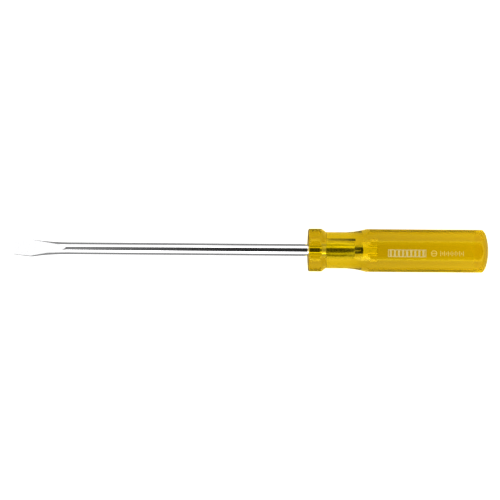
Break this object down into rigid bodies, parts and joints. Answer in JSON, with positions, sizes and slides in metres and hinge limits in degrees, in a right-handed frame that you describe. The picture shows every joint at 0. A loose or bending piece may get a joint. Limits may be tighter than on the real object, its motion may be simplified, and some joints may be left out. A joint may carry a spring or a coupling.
{
  "type": "slotted screwdriver",
  "caption": "Fixed slotted screwdriver: round steel shank with a flared flat tip, pressed into a clear yellow octagonal handle.",
  "frame": {"origin": "middle of the driving edge at the tip of the blade, on the axis of the tool", "axes": "+X along the tool from the tip to the butt, +Z square to the marked flat of the handle, +Y across it"},
  "size_m": [0.2424, 0.0218, 0.0219],
  "materials": {
    "plated_steel": "bright chrome plate, cross-ground faces at the tip",
    "clear_acetate": "polished transparent amber-yellow cellulose acetate",
    "badge_foil": "pale hot-stamped foil, slightly worn",
    "scale_foil": "thin hot-stamped foil, slightly worn"
  },
  "bodies": {
    "root": {"blade": "plated_steel", "handle": "clear_acetate", "maker_mark": "badge_foil", "size_mark": "scale_foil"}
  },
  "joints": []
}
